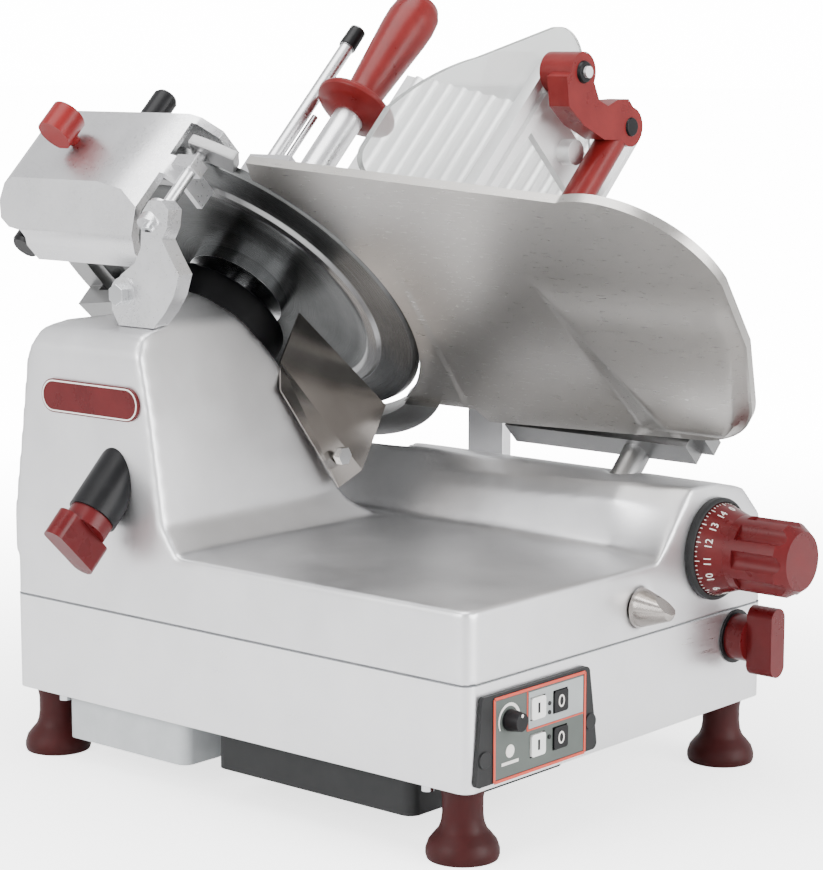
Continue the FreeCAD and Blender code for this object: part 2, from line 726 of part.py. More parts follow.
def make_gauge():
    """Leaning plate that the food slides down to; it moves back along the blade's axis."""
    edge_gap = BLADE_R + 3.5
    low = math.radians(-126.2)
    high = math.radians(129)
    foot = Vector(BLADE_ALONG + edge_gap * math.cos(low), BLADE_UP + edge_gap * math.sin(low), 0)
    head = Vector(BLADE_ALONG + edge_gap * math.cos(high), BLADE_UP + edge_gap * math.sin(high), 0)
    middle = Vector(BLADE_ALONG - edge_gap, BLADE_UP, 0)
    corner = Vector(308, 253, 0)
    shoulder, nose, heel = Vector(10, 223, 0), Vector(-100, 140, 0), Vector(-60, -8, 0)
    base_end, base_start, step = Vector(16, -62, 0), Vector(240, -73, 0), Vector(249, -51, 0)
    edges = [
        Part.Arc(foot, middle, head).toShape(),
        Part.LineSegment(head, corner).toShape(),
        Part.LineSegment(corner, shoulder).toShape(),
        Part.Arc(shoulder, Vector(-72, 202, 0), nose).toShape(),
        Part.LineSegment(nose, Vector(-89, 68, 0)).toShape(),
        Part.LineSegment(Vector(-89, 68, 0), heel).toShape(),
        Part.Arc(heel, Vector(-35, -43, 0), base_end).toShape(),
        Part.LineSegment(base_end, base_start).toShape(),
        Part.LineSegment(base_start, step).toShape(),
        Part.LineSegment(step, foot).toShape(),
    ]
    thickness = number(D.plate_thickness)
    flute = number(D.flute_height)
    sheet_part = Part.Face(Part.Wire(edges)).extrude(Vector(0, 0, thickness))
    pitch = 13
    bars = []
    for i in range(26):
        bar = Part.makeCylinder(5.5, 460, Vector(-120, -70 + pitch * i, thickness + flute - 5.5), Vector(1, 0, 0))
        bars.append(bar)
    room = Part.Face(Part.Wire(edges)).makeOffset2D(-7).extrude(Vector(0, 0, thickness + flute))
    flutes = Part.makeCompound(bars).common(room)
    solid("gauge_plate", sheet_part.fuse(flutes).removeSplitter(), tilted(0, 0, D.blade_out))

    beam = box("carrier_beam", 214, 36, 14, tilted(22, -98, D.blade_out + thickness + flute))
    tongue = box("carrier_tongue", 190, 23.5, thickness + flute, tilted(34, -98, D.blade_out))
    post = cylinder("carrier_post", D.post_radius, 85, tilted(D.post_along, D.post_up, 305))
    seat = box("finger_seat", 16, 30, 42, tilted(number(D.post_along) - 8, -130, 268))
    reach = box("finger_reach", 22, 30, 14, tilted(number(D.post_along) + 8, -130, 268))
    finger = box("finger", 12, 8, 25, tilted(number(D.post_along) + 16, -130, 280.5))
    keep(fuse("gauge_carrier", beam, tongue, post, seat, reach, finger), "gauge_carrier")


def spiral_cam(start_radius, end_radius, thickness):
    """Disc whose edge winds out steadily over 300 degrees."""
    steps = 25
    spots = []
    for i in range(steps):
        turn = math.radians(300 * i / (steps - 1))
        radius = start_radius + (end_radius - start_radius) * i / (steps - 1)
        spots.append(Vector(radius * math.cos(turn), radius * math.sin(turn), 0))
    curve = Part.BSplineCurve()
    curve.interpolate(spots)
    closing = Part.LineSegment(spots[-1], spots[0]).toShape()
    return Part.Face(Part.Wire([curve.toShape(), closing])).extrude(Vector(0, 0, thickness))


def make_dial():
    across = number(D.dial_across)
    radius = D.dial_radius
    turned("dial_ring", at(across, 0, RIM, TO_FRONT), [
        (38.6, 0), (radius, 0), (radius, 5), (radius - 1.5, 7), (38.6, 7)])
    turned("dial_scale", at(across, -1, RIM, TO_FRONT), [
        (0, 0), (38, 0), (38, 5), (30.5, 27), (0, 27)])
    knob = new_body("dial_knob", at(across, -28, RIM, TO_FRONT))
    section = new_sketch(knob, "XZ_Plane", "dial_knob_section")
    reach = D.dial_reach - 28
    outline(section, [(0, 0), (30.5, 0), (30.5, reach - 9), (25, reach - 1.5), (24, reach), (0, reach)])
    revolve(knob, section)
    flute = new_sketch(knob, "XY_Plane", "dial_knob_flute", 8)
    circle(flute, 37.5, 0, 11)
    groove = pocket(knob, flute, D.dial_reach, back=True)
    pattern = knob.newObject("PartDesign::PolarPattern", "dial_knob_flutes")
    pattern.Originals = [groove]
    pattern.Axis = (section, ["V_Axis"])
    pattern.Angle = 360
    pattern.Occurrences = 8
    knob.Tip = pattern
    doc.recompute()

    spindle = Part.makeCylinder(8, 121, Vector(0, 0, -121))
    cam = spiral_cam(12, 12 + number(D.plate_travel), 14)
    # the cam's low point faces the follower, against the plate's outward direction
    cam.rotate(Vector(), Vector(0, 0, 1), 225 - 14)
    cam.translate(Vector(0, 0, -number(D.post_along) - 28))
    solid("thickness_cam", spindle.fuse(cam), at(across, -1, RIM, TO_FRONT))


# ---------------------------------------------------------------- carriage

TABLE_NEAR = 394


def make_carriage_base():
    rail_x, rail_z = number(D.rail_across), number(D.rail_height)
    rod = cylinder("slide_rod", D.rod_radius, LENGTH - 17, at(rail_x, 14, rail_z, TO_BACK))
    blocks = [box(f"rod_block_{i + 1}", 30, 4.5, 68, at(rail_x - 15, y, 6)) for i, y in enumerate((14, LENGTH - 8))]
    keep(fuse("carriage_rod", rod, *blocks), "carriage_rod")

    block = box("trolley_block", 38, 60, 30, at(rail_x - 17, 252, rail_z - 15))
    neck = box("trolley_neck", 12, 40, 22, at(366, 262, rail_z + 15))
    grip = box("belt_grip", 18, 30, 5, at(328, 267, 69))
    bore = cylinder("trolley_bore", D.rod_radius + 0.05, 80, at(rail_x, 242, rail_z, TO_BACK))
    keep(cut("carriage_trolley", fuse("trolley_solid", block, neck, grip), bore), "carriage_trolley")

    under = -number(D.table_thickness)
    slope = under * math.sqrt(2)
    arm = bar_xz([(366, rail_z + 37), (378, rail_z + 37), (378, 378 + slope), (366, 366 + slope)], 262, 40)
    solid("carriage_arm", arm)


def make_belt_drive():
    """Toothed belt inside the base that pulls the trolley to and fro."""
    motor = cylinder("belt_motor_can", 27, 88, at(238, 440, 48, Rotation(Vector(0, 1, 0), 90)))
    feet = box("belt_motor_feet", 60, 50, 22, at(246, 415, 6))
    keep(fuse("carriage_motor", motor, feet), "carriage_motor")
    radius = 18
    turn = Rotation(Vector(0, 1, 0), 90)
    for label, y, stub in (("belt_pulley", 440, -4), ("idler_pulley", 40, -12)):
        body = new_body(label, at(330, y, 48, turn))
        section = new_sketch(body, "XZ_Plane", label + "_section")
        outline(section, [(0, stub), (5, stub), (5, 0), (radius, 0), (radius, 12), (0, 12)])
        revolve(body, section)
    outer = belt_loop(radius + 2.3, radius + 2.3, Vector(0, 400, 0), 10)
    inner = belt_loop(radius + 0.3, radius + 0.3, Vector(0, 400, 0), 10)
    solid("carriage_belt", outer.cut(inner), at(331, 40, 48, turn))


def make_table():
    """Fluted product table, square to the blade plane, with a slanting upper end."""
    near, far_low, far_high = TABLE_NEAR, 655, 726
    start = number(D.table_start)
    end = start + number(D.table_width)
    corners = [(start, near), (end, near), (end, far_high), (start, far_low)]
    spots = [Vector(x, -number(D.table_thickness), z) for x, z in corners]
    face = Part.Face(Part.makePolygon(spots + spots[:1]))
    deck = face.extrude(Vector(0, number(D.table_thickness), 0))
    room = face.extrude(Vector(0, number(D.table_thickness) + 4, 0))
    ribs = []
    for i in range(14):
        along = start + 29 + 20.5 * i
        ribs.append(Part.makeCylinder(8, 360, Vector(along, -5, near - 10), Vector(0, 0, 1)))
    shape = deck.fuse(Part.makeCompound(ribs).common(room))
    solid("product_table", shape.removeSplitter(), tilted(0, 0, 0))


def make_shield():
    """Clear hand shield on the operator's side of the table, with the rail that carries the lever."""
    far_face = number(D.shield_along) + number(D.shield_thickness)
    body = new_body("hand_shield", tilted(far_face, 0, 0, Rotation(Vector(0, 1, 0), -90)))
    sketch = new_sketch(body, "XY_Plane", "shield_outline")
    outline(sketch, [(396, 0.2), (590, 0.2), (652, 87), (649, 139, 663, 114), (560, 193),
                     (452, 246, 508, 224), (410, 246), (396, 232, 400, 242)])
    pad(body, sketch, D.shield_thickness)

    rail = box("rail_bar", 12, 24, 214, tilted(number(D.shield_along) - 12, 112, 404))
    groove = box("rail_groove", 5, 8, 200, tilted(number(D.shield_along) - 12, 120, 390))
    pin = cylinder("lever_pin", 5, 46, tilted(number(D.shield_along) - 52, *LEVER_PIVOT, ALONG_Y))
    web = box("rail_web", 7, 112, 40, tilted(number(D.shield_along) - 7, 4, 556))
    boss = cylinder("rail_boss", 11, 14, tilted(number(D.shield_along) - 20, 62, 576, ALONG_Y))
    keep(fuse("shield_rail", cut("rail_channel", rail, groove), pin, web, boss), "shield_rail")


LEVER_PIVOT = (128, 607)


def make_lever():
    """Cranked red lever on the rail's upper end; its long leg hangs beside the shield."""
    pivot_up, pivot_out = LEVER_PIVOT
    low_up, low_out = 46, 622
    start = 155
    web = tilted_prism_out([(588, 142), (621, 132), (613, 116), (606, 95), (611, 83), (624, 77), (636, 66),
                            (636, 42), (618, 34), (588, 66), (576, 96), (573, 122)], start, 21)
    hub = Part.makeCylinder(17, 34, Vector(start, pivot_up, pivot_out), Vector(1, 0, 0))
    knee = Part.makeCylinder(17, 23, Vector(start, low_up, low_out), Vector(1, 0, 0))
    leg = Part.makeCylinder(13, 178, Vector(start + 13, low_up, 446))
    tip = Part.makeSphere(13, Vector(start + 13, low_up, 446))
    bore = Part.makeCylinder(5.05, 60, Vector(start - 5, pivot_up, pivot_out), Vector(1, 0, 0))
    shape = web.fuse([hub, knee, leg, tip]).cut(bore)
    solid("carriage_lever", shape, tilted(0, 0, 0))


def make_pusher():
    """Product pusher: a toothed plate on a tube with a guarded handle, sliding on a guide bar."""
    along, up = number(D.pusher_along), number(D.pusher_up)
    wall = box("guide_wall", 8, 148, 44, tilted(431, 4.3, 396))
    post = cylinder("guide_tube", 6.5, 230, tilted(425, 141, 396))
    rod = cylinder("guide_rod_thin", 3, 150, tilted(421, 131, 396))
    tie = box("guide_tie", 14, 30, 10, tilted(418, 122, 398))
    cap = cylinder("guide_cap", 7.5, 22, tilted(425, 141, 622))
    keep(fuse("guide_bar", wall, post, rod, tie, cap), "guide_bar")

    tube = cylinder("tube_round", D.tube_radius, 141, tilted(along, up, 404))
    block = box("slider_block", 50, 40, 30, tilted(386, 117, 446))
    tube_bore = cylinder("slider_tube_bore", 6.55, 40, tilted(425, 141, 440))
    rod_bore = cylinder("slider_rod_bore", 3.05, 40, tilted(421, 131, 440))
    keep(fuse("pusher_tube", tube, cut("slider_cut", block, tube_bore, rod_bore)), "pusher_tube")

    teeth = [cone(f"tooth_{i}_{k}", 4, 0.5, 4, tilted(262 + 26 * i, 40 + 26 * k, 396, DOWN))
             for i in range(6) for k in range(4)]
    pad_plate = box("pusher_pad", 170, 118, 8, tilted(240, 24, 396))
    keep(fuse("pusher_plate", pad_plate, *teeth), "pusher_plate")

    radius = D.handle_radius
    length = D.handle_length
    turned("pusher_handle", tilted(along, up, 545), [
        (0, 0), (D.tube_radius + 2, 0), (29, 5), (36, 10), (37, 13), (35.5, 16), (24, 18), (18.5, 20.5),
        (17, 25), (17, 34), (radius * 0.87, length * 0.5), (radius * 0.98, length * 0.72),
        (radius, length * 0.82), (radius * 0.94, length * 0.91), (radius * 0.76, length * 0.965),
        (radius * 0.45, length - 0.5), (0, length)])


# ---------------------------------------------------------------- knobs and panel

def wing_knob(label, place, collar):
    """Round collar with a stadium-shaped finger wing across its end."""
    body = new_body(label, place)
    section = new_sketch(body, "XZ_Plane", label + "_section")
    outline(section, [(0, 0), (D.knob_radius - 3, 0), (D.knob_radius - 3, collar), (0, collar)])
    revolve(body, section)
    wing = new_sketch(body, "XY_Plane", label + "_wing", collar)
    half = 21
    outline(wing, [(-10, -half), (10, -half, 0, -half - 8), (10, half), (-10, half, 0, half + 8)])
    pad(body, wing, 24)
    stem = new_sketch(body, "XY_Plane", label + "_stem")
    circle(stem, 0, 0, 6)
    pad(body, stem, 14, back=True)
    return body


def make_knobs():
    # the release knob's axis runs parallel to the blade's axis and leaves the left side at 45 degrees
    along, up = 374, 134
    start = up - 34
    boss = leaning_cylinder(21, along, up, start, 70).cut(Part.makeBox(200, 200, 300, Vector(0, 250, 60)))
    boss = boss.cut(leaning_cylinder(6.4, along, up, start - 30, 120))
    solid("release_boss", boss)
    wing_knob("release_knob", tilted(along, up, start, Rotation(Vector(1, 0, 0), 180)), 13)
    wing_knob("front_knob", at(348, -1, 58, TO_FRONT), 17)

    cone_radius = D.cone_radius
    button = new_body("lock_button", at(213, -0.5, 105, TO_FRONT))
    section = new_sketch(button, "XZ_Plane", "lock_button_section")
    outline(section, [(0, -14), (8, -14), (8, 0), (cone_radius + 1, 0), (cone_radius, 4),
                      (7, 28), (3, 31), (0, 31)])
    revolve(button, section)
    doc.recompute()
    slant = new_sketch(button, "YZ_Plane", "lock_button_slant")
    outline(slant, [(-3, 33), (22, 2), (22, 33)])
    pocket(button, slant, 60, both=True)

    wall = Rotation(Vector(0, -1, 0), Vector(0, 0, 1), Vector(-1, 0, 0), "XYZ")
    plate("badge_plate", at(0, 457, 270, wall), [(14, -28, 0, -14), (102, -28), (102, 0, 116, -14), (14, 0)], 2.5)


def make_panel():
    depth = D.panel_depth
    bezel = new_body("panel_bezel", at(0, 0, 0, TO_FRONT))
    face = new_sketch(bezel, "XY_Plane", "bezel_outline")
    outline(face, [(11, 5, 7, 6), (147, 5), (152, 11, 151, 7), (143, 67), (137, 72, 141, 71),
                   (17, 72), (12, 68, 13, 71), (6, 11)])
    pad(bezel, face, depth)
    holes = new_sketch(bezel, "XY_Plane", "bezel_holes", depth)
    for x, z in BUTTON_SPOTS.values():
        rectangle(holes, x - BUTTON / 2 - 0.4, z - BUTTON / 2 - 0.4, BUTTON + 0.8, BUTTON + 0.8)
    circle(holes, *SPEED_SPOT, 4.2)
    pocket(bezel, holes, 10)

    for label, (x, z) in BUTTON_SPOTS.items():
        button = new_body(label, at(x, 0, z, TO_FRONT))
        key = new_sketch(button, "XY_Plane", label + "_key", -9)
        rectangle(key, -BUTTON / 2, -BUTTON / 2, BUTTON, BUTTON)
        pad(button, key, depth + 11)
        round_edges(button, is_upright, 2.5)

    turned("speed_knob", at(SPEED_SPOT[0], 0, SPEED_SPOT[1], TO_FRONT), [
        (0, -9), (4, -9), (4, 4.4), (8, 4.4), (8.5, 6), (7, 17), (0, 17)])
    board = box("board", 112, 2, 46, at(21, 13, 15))
    part_a = box("board_relay", 30, 14, 20, at(30, 15, 20))
    part_b = box("board_transformer", 36, 22, 26, at(80, 15, 22))
    keep(fuse("control_board", board, part_a, part_b), "control_board")


BUTTON = number(D.button_size)
BUTTON_SPOTS = {
    "blade_start_button": (77, 52.5), "blade_stop_button": (104.5, 52.5),
    "carriage_start_button": (77, 24), "carriage_stop_button": (104.5, 24),
}
SPEED_SPOT = (43, 50)

# ---------------------------------------------------------------- build and write

make_base()
make_feet()
make_undercovers()
make_casting()
make_blade()
make_drive()
make_blade_guard()
make_sharpener()
make_bracket()
make_deflector()
make_gauge()
make_dial()
make_carriage_base()
make_belt_drive()
make_table()
make_shield()
make_lever()
make_pusher()
make_knobs()
make_panel()
doc.recompute()

faults = [obj.Name for obj in doc.Objects if "Invalid" in obj.State or "Error" in obj.State]
for node in nodes:
    if node.Shape.isNull() or not node.Shape.isValid() or not node.Shape.Solids:
        faults.append(node.Label)
if faults:
    raise RuntimeError(f"objects that failed: {faults}")

os.makedirs("parts", exist_ok=True)
for node in nodes:
    node.Shape.exportStep(f"parts/{node.Label}.step")
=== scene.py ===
import math
import bpy
import bmesh
from mathutils import Euler, Matrix, Vector


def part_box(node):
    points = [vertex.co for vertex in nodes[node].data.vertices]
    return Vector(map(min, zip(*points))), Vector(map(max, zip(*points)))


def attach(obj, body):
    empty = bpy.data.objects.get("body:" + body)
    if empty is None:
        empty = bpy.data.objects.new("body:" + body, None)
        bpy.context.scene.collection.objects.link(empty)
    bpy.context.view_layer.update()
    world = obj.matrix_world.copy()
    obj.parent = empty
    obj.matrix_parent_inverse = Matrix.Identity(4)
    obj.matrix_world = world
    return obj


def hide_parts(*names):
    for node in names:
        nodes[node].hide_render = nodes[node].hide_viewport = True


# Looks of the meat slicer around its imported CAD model. Lengths below are in millimetres in machine
# coordinates (X to the operator's right, Y away from the operator, Z up from the base's lower edge)
# or in the leaning blade frame (along = Y, up the lean, out of the lean); M() and T() turn them into
# metres in the row frame.

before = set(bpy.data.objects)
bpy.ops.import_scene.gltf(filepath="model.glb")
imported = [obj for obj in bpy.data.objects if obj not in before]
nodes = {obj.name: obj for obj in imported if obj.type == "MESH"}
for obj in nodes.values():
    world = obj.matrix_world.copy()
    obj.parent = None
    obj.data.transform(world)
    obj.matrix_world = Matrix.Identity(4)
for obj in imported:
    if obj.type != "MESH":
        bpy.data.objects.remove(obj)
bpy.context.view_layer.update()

SHIFT = Vector(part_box("base_pan")[0]) * 1000
S = math.sqrt(0.5)
UP = Vector((-S, 0, S))
OUT = Vector((S, 0, S))
TILT = Matrix((Vector((0, 1, 0)), UP, OUT)).transposed()
BLADE = (428, 94, 380)


def M(x, y, z):
    return (Vector((x, y, z)) + SHIFT) / 1000


def T(along, up, out):
    return M((out - up) * S, along, (out + up) * S)


# ---------------------------------------------------------------- materials

def new_material(name):
    material = bpy.data.materials.new(name)
    material.use_nodes = True
    tree = material.node_tree
    return material, tree, tree.nodes["Principled BSDF"]


def node(tree, kind, **values):
    made = tree.nodes.new(kind)
    for key, value in values.items():
        if key in made.inputs:
            made.inputs[key].default_value = value
        else:
            setattr(made, key, value)
    return made


def texture_space(tree, stretch=(1, 1, 1), turn=(0, 0, 0), place=(0, 0, 0)):
    """Object coordinates, moved into a turned local frame and then stretched."""
    source = node(tree, "ShaderNodeTexCoord")
    local = node(tree, "ShaderNodeMapping", vector_type="TEXTURE", Location=place, Rotation=turn)
    scaled = node(tree, "ShaderNodeMapping", vector_type="POINT", Scale=stretch)
    tree.links.new(source.outputs["Object"], local.inputs["Vector"])
    tree.links.new(local.outputs["Vector"], scaled.inputs["Vector"])
    return scaled.outputs["Vector"]


def noise(tree, vector, scale, detail=4.0, roughness=0.6):
    made = node(tree, "ShaderNodeTexNoise", Scale=scale, Detail=detail, Roughness=roughness)
    tree.links.new(vector, made.inputs["Vector"])
    return made.outputs["Fac"]


def span(tree, value, low, high, start=0.3, end=0.7):
    made = node(tree, "ShaderNodeMapRange")
    made.inputs["From Min"].default_value = start
    made.inputs["From Max"].default_value = end
    made.inputs["To Min"].default_value = low
    made.inputs["To Max"].default_value = high
    tree.links.new(value, made.inputs["Value"])
    return made.outputs["Result"]


def mixed(tree, value, first, second, start=0.3, end=0.7):
    ramp = node(tree, "ShaderNodeValToRGB")
    ramp.color_ramp.elements[0].position = start
    ramp.color_ramp.elements[1].position = end
    ramp.color_ramp.elements[0].color = (*first, 1)
    ramp.color_ramp.elements[1].color = (*second, 1)
    tree.links.new(value, ramp.inputs["Fac"])
    return ramp.outputs["Color"]


def bump(tree, shader, *layers):
    """layers: (height output, strength, distance in metres), the coarsest first."""
    last = None
    for height, strength, distance in layers:
        made = node(tree, "ShaderNodeBump", Strength=strength, Distance=distance)
        tree.links.new(height, made.inputs["Height"])
        if last:
            tree.links.new(last, made.inputs["Normal"])
        last = made.outputs["Normal"]
    tree.links.new(last, shader.inputs["Normal"])


def metal(name, dark, light, rough, grain=400, stretch=(1, 1, 1), turn=(0, 0, 0), wave=0.0, grit=0.15,
          depth=0.0002):
    """Metal with a fine grain, uneven polish and, with wave, a slightly rolling surface."""
    material, tree, shader = new_material(name)
    vector = texture_space(tree, stretch, turn)
    plain = texture_space(tree)
    fine = noise(tree, vector, grain, 6)
    broad = noise(tree, plain, 14, 3)
    tree.links.new(mixed(tree, broad, dark, light), shader.inputs["Base Color"])
    uneven = node(tree, "ShaderNodeMath", operation="ADD")
    tree.links.new(span(tree, fine, rough[0] - 0.02, rough[1]), uneven.inputs[0])
    tree.links.new(span(tree, broad, 0.0, 0.06), uneven.inputs[1])
    tree.links.new(uneven.outputs[0], shader.inputs["Roughness"])
    shader.inputs["Metallic"].default_value = 1.0
    layers = [(fine, grit, depth)]
    if wave:
        layers.insert(0, (noise(tree, plain, 11, 2), wave, 0.004))
    bump(tree, shader, *layers)
    return material


def plastic(name, dark, light, rough, grain=900, grit=0.08, shine=0.5):
    """Moulded plastic, rubber or paint: cloudy colour, handling wear and a fine moulded texture."""
    material, tree, shader = new_material(name)
    vector = texture_space(tree)
    broad = noise(tree, vector, 40, 4)
    fine = noise(tree, vector, grain, 5)
    tree.links.new(mixed(tree, broad, dark, light), shader.inputs["Base Color"])
    tree.links.new(span(tree, broad, rough[0], rough[1]), shader.inputs["Roughness"])
    shader.inputs["Specular IOR Level"].default_value = shine
    bump(tree, shader, (fine, grit, 0.0002))
    return material


def arithmetic(tree, operation, first, second=0.0):
    made = node(tree, "ShaderNodeMath", operation=operation)
    for slot_index, value in enumerate((first, second)):
        if isinstance(value, float):
            made.inputs[slot_index].default_value = value
        else:
            tree.links.new(value, made.inputs[slot_index])
    return made.outputs[0]


def step_between(tree, value, start, end, low=0.0, high=1.0):
    made = node(tree, "ShaderNodeMapRange", interpolation_type="SMOOTHSTEP")
    made.inputs["From Min"].default_value = start
    made.inputs["From Max"].default_value = end
    made.inputs["To Min"].default_value = low
    made.inputs["To Max"].default_value = high
    tree.links.new(value, made.inputs["Value"])
    return made.outputs["Result"]


def blended(tree, share, first, second):
    """Colour that goes from first to second as share goes from 0 to 1."""
    made = node(tree, "ShaderNodeMix", data_type="RGBA")
    tree.links.new(share, made.inputs["Factor"])
    tree.links.new(first, made.inputs[6])
    tree.links.new(second, made.inputs[7])
    return made.outputs[2]


def blade_metal():
    """Ground steel: fine rings about the axis, a dark centre that is painted shade, a bright ring that is a
    painted highlight, and a paler cutting rim.
    """
    material, tree, shader = new_material("blade_steel")
    turn = TILT.to_euler()
    local = texture_space(tree, place=T(*BLADE), turn=turn)
    parts = node(tree, "ShaderNodeSeparateXYZ")
    tree.links.new(local, parts.inputs["Vector"])
    flat = node(tree, "ShaderNodeCombineXYZ")
    tree.links.new(parts.outputs["X"], flat.inputs["X"])
    tree.links.new(parts.outputs["Y"], flat.inputs["Y"])
    radius = node(tree, "ShaderNodeVectorMath", operation="LENGTH")
    tree.links.new(flat.outputs["Vector"], radius.inputs[0])
    rings = node(tree, "ShaderNodeTexNoise", noise_dimensions="1D", Scale=2600.0, Detail=3.0)
    tree.links.new(radius.outputs["Value"], rings.inputs["W"])
    broad = noise(tree, texture_space(tree), 20, 3)
    # The dark centre colour is painted shade, and the bright ring colour from 126 to 141 mm is a painted
    # highlight.
    dish_painted_shade = mixed(tree, broad, (0.032, 0.034, 0.034), (0.060, 0.062, 0.062))
    rim = mixed(tree, broad, (0.105, 0.108, 0.108), (0.150, 0.153, 0.153))
    bead_painted_highlight = mixed(tree, broad, (0.26, 0.26, 0.26), (0.33, 0.33, 0.33))
    painted_shade_and_highlight = blended(tree, step_between(tree, radius.outputs["Value"], 0.1260, 0.1275), dish_painted_shade, bead_painted_highlight)
    zones = blended(tree, step_between(tree, radius.outputs["Value"], 0.1405, 0.1425), painted_shade_and_highlight, rim)
    tree.links.new(zones, shader.inputs["Base Color"])
    tree.links.new(span(tree, rings.outputs["Fac"], 0.2, 0.36), shader.inputs["Roughness"])
    shader.inputs["Metallic"].default_value = 1.0
    bump(tree, shader, (rings.outputs["Fac"], 0.12, 0.0002))
    return material


def clear_plastic():
    """Clear acrylic with faint rub marks."""
    material, tree, shader = new_material("clear_acrylic")
    vector = texture_space(tree, (1, 1, 6))
    marks = noise(tree, vector, 90, 8, 0.75)
    tree.links.new(span(tree, marks, 0.02, 0.12, 0.5, 0.8), shader.inputs["Roughness"])
    shader.inputs["Base Color"].default_value = (0.95, 0.97, 0.96, 1)
    shader.inputs["Transmission Weight"].default_value = 0.86
    shader.inputs["IOR"].default_value = 1.45
    bump(tree, shader, (marks, 0.03, 0.0001))
    return material


# share of the gauge plate's fold that is made as relief; the material's bump adds the rest
FOLD_SHARE = 0.4
FOLD_SLOPE = 0.085
FAN_START, FAN_END = 5.0, 17.0
FOLD_ROOT = (88, 141)
RECESS_REACH = 133.0
RECESS_SLOPE = 0.166
RECESS_DEPTH = 1.4


def gauge_metal():
    """Satin aluminium plate: a fan-shaped fold across its outer half and a recess beside the blade."""
    material, tree, shader = new_material("gauge_plate_aluminium")
    local = texture_space(tree, place=T(*FOLD_ROOT, BLADE[2]), turn=TILTED)
    parts = node(tree, "ShaderNodeSeparateXYZ")
    tree.links.new(local, parts.inputs["Vector"])
    along, up = parts.outputs["X"], parts.outputs["Y"]
    below = arithmetic(tree, "MULTIPLY", up, -1.0)
    angle = arithmetic(tree, "ARCTAN2", along, below)
    fan = step_between(tree, angle, math.radians(-FAN_START), math.radians(-FAN_END))
    reach = step_between(tree, below, 0.0, 0.06)
    fold = arithmetic(tree, "MULTIPLY", arithmetic(tree, "MULTIPLY", fan, reach),
                      arithmetic(tree, "MULTIPLY", below, FOLD_SLOPE))
    border = arithmetic(tree, "ADD", arithmetic(tree, "MULTIPLY", below, RECESS_SLOPE), RECESS_REACH / 1000)
    side = arithmetic(tree, "SUBTRACT", along, border)
    recess = arithmetic(tree, "MULTIPLY", step_between(tree, side, -0.005, 0.005),
                        step_between(tree, below, 0.0, 0.05, 0.0, RECESS_DEPTH / 1000))
    relief = arithmetic(tree, "ADD", fold, recess)
    vector = texture_space(tree, (0.15, 1, 1), TILTED)
    fine = noise(tree, vector, 500, 6)
    broad = noise(tree, texture_space(tree), 9, 3)
    colour = mixed(tree, broad, (0.40, 0.385, 0.365), (0.45, 0.435, 0.415))
    tree.links.new(colour, shader.inputs["Base Color"])
    tree.links.new(span(tree, fine, 0.26, 0.34), shader.inputs["Roughness"])
    shader.inputs["Metallic"].default_value = 1.0
    bump(tree, shader, (relief, 1.0, 1.0 - FOLD_SHARE), (fine, 0.012, 0.0002))
    return material


TILTED = TILT.to_euler()
CAST = metal("cast_aluminium", (0.70, 0.70, 0.71), (0.78, 0.78, 0.79), (0.33, 0.42), grain=520, wave=0.02,
             grit=0.10)
SATIN = metal("satin_aluminium", (0.66, 0.66, 0.67), (0.74, 0.74, 0.75), (0.24, 0.34), grain=420, wave=0.01,
              grit=0.08)
GAUGE = gauge_metal()
BRUSHED = metal("brushed_steel", (0.78, 0.78, 0.79), (0.84, 0.84, 0.85), (0.26, 0.36), grain=900,
                stretch=(0.03, 0.03, 1), grit=0.05)
BRIGHT = metal("bright_steel", (0.62, 0.63, 0.64), (0.72, 0.73, 0.74), (0.10, 0.18), grain=700,
               stretch=(1, 0.1, 1), grit=0.05)
BLADE_STEEL = blade_metal()
GUARD = metal("guard_aluminium", (0.26, 0.26, 0.26), (0.33, 0.33, 0.33), (0.30, 0.40), grain=420, grit=0.08)
TABLE = metal("table_aluminium", (0.84, 0.84, 0.84), (0.90, 0.90, 0.90), (0.42, 0.52), grain=500,
              stretch=(0.15, 1, 1), turn=TILTED, grit=0.06)
# Darker, warm grey-brown copy of the bright steel: the tone is a painted reflection of the floor.
FOLDED_REFLECTION_STEEL = metal("folded_steel_painted_reflection", (0.34, 0.31, 0.285), (0.44, 0.41, 0.385), (0.15, 0.22), grain=700,
               stretch=(1, 0.1, 1), grit=0.05)
MAROON = plastic("maroon_plastic", (0.075, 0.004, 0.005), (0.100, 0.006, 0.007), (0.24, 0.36), shine=0.24)
HANDLE = plastic("handle_plastic", (0.130, 0.008, 0.008), (0.170, 0.012, 0.011), (0.26, 0.38), shine=0.26)
RED = plastic("red_plastic", (0.160, 0.005, 0.005), (0.200, 0.007, 0.007), (0.28, 0.40), shine=0.28)
BLACK = plastic("black_plastic", (0.003, 0.003, 0.0035), (0.006, 0.006, 0.007), (0.30, 0.42), shine=0.22)
CHARCOAL = plastic("charcoal_plastic", (0.014, 0.0145, 0.015), (0.021, 0.0215, 0.022), (0.42, 0.55),
                   shine=0.2)
GREY = plastic("grey_plastic", (0.16, 0.17, 0.18), (0.22, 0.23, 0.24), (0.38, 0.5))
LIGHT_GREY = plastic("light_grey_plastic", (0.40, 0.42, 0.43), (0.47, 0.49, 0.50), (0.4, 0.52))
WHITE = plastic("white_plastic", (0.74, 0.74, 0.72), (0.82, 0.82, 0.80), (0.3, 0.42))
RUBBER = plastic("foot_rubber", (0.026, 0.0022, 0.002), (0.038, 0.003, 0.003), (0.42, 0.58), grain=600,
                 grit=0.15, shine=0.2)
BELT = plastic("belt_rubber", (0.010, 0.010, 0.010), (0.020, 0.020, 0.020), (0.6, 0.75), grain=1200,
               grit=0.4)
